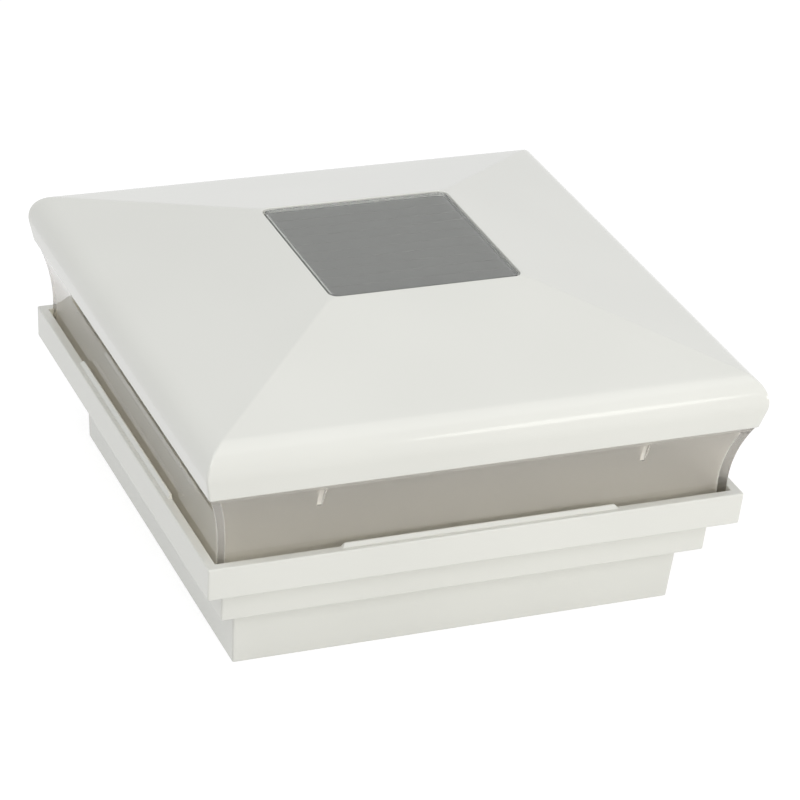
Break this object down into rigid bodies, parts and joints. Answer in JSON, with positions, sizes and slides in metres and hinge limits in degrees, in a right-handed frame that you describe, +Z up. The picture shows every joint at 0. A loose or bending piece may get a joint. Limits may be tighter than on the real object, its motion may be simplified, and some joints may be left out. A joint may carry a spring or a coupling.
{
  "type": "deck post cap light",
  "caption": "Square solar cap light for a deck post: stepped base, clear coved lens ring, and a hipped bullnose roof with a solar window over a lamp tray.",
  "frame": {"origin": "middle of the skirt's lower edge, on the post's axis", "axes": "+Z up the post's axis, X along the front face, +Y to the back"},
  "size_m": [0.1818, 0.1818, 0.0993],
  "materials": {
    "white_plastic": "moulded white polycarbonate, fine satin skin",
    "lens_clear": "clear moulded polycarbonate, frosted inside",
    "window_clear": "clear glass cover",
    "cell_grey": "grey cell strips",
    "laminate": "glass-fibre laminate",
    "panel_board": "dark glass-fibre laminate",
    "sealant": "cured sealant",
    "screw_steel": "plated steel",
    "contact_steel": "nickel-plated strip",
    "black_plastic": "moulded black plastic",
    "capacitor_sleeve": "sleeved can",
    "lamp_epoxy": "clear epoxy",
    "cell_sleeve": "plain green sleeve, bare metal ends",
    "gasket_rubber": "soft rubber",
    "lead_red": "PVC cover",
    "lead_black": "PVC cover"
  },
  "bodies": {
    "base": {"base_housing": "white_plastic"},
    "cap": {"roof_shell": "white_plastic", "lens_ring": "lens_clear", "solar_window": "window_clear", "solar_cells": "cell_grey", "solar_backing": "panel_board", "panel_sealant": "sealant", "lamp_tray": "white_plastic", "tray_screws": "screw_steel", "control_board": "laminate", "board_screws": "screw_steel", "control_chip": "black_plastic", "choke_coil": "black_plastic", "buffer_capacitor": "capacitor_sleeve", "leds": "lamp_epoxy", "led_legs": "contact_steel", "switch_housing": "black_plastic", "switch_pins": "contact_steel", "positive_contact": "contact_steel", "negative_contact": "contact_steel", "cell_link_plate": "contact_steel", "contact_springs": "contact_steel", "battery_lead_positive": "lead_red", "battery_lead_negative": "lead_black", "panel_lead_positive": "lead_red", "panel_lead_negative": "lead_black"},
    "switch": {"switch_knob": "black_plastic"},
    "door": {"battery_door": "white_plastic", "door_gasket": "gasket_rubber", "door_screws": "screw_steel"},
    "cells": {"battery_cells": "cell_sleeve"}
  },
  "joints": [
    {"name": "cap_lift", "type": "slide", "parent": "base", "child": "cap", "axis": [0, 0, 1], "range_m": [0, 0.06]},
    {"name": "switch_slide", "type": "slide", "parent": "cap", "child": "switch", "axis": [1, 0, 0], "range_m": [0, 0.003]},
    {"name": "battery_door_removal", "type": "slide", "parent": "cap", "child": "door", "axis": [0, 0, -1], "range_m": [0, 0.024]},
    {"name": "battery_cells_removal", "type": "slide", "parent": "cap", "child": "cells", "axis": [0, 0, -1], "range_m": [0, 0.012]}
  ],
  "couplings": [
    {"joint": "battery_cells_removal", "follows": "battery_door_removal", "ratio": 0.5}
  ]
}
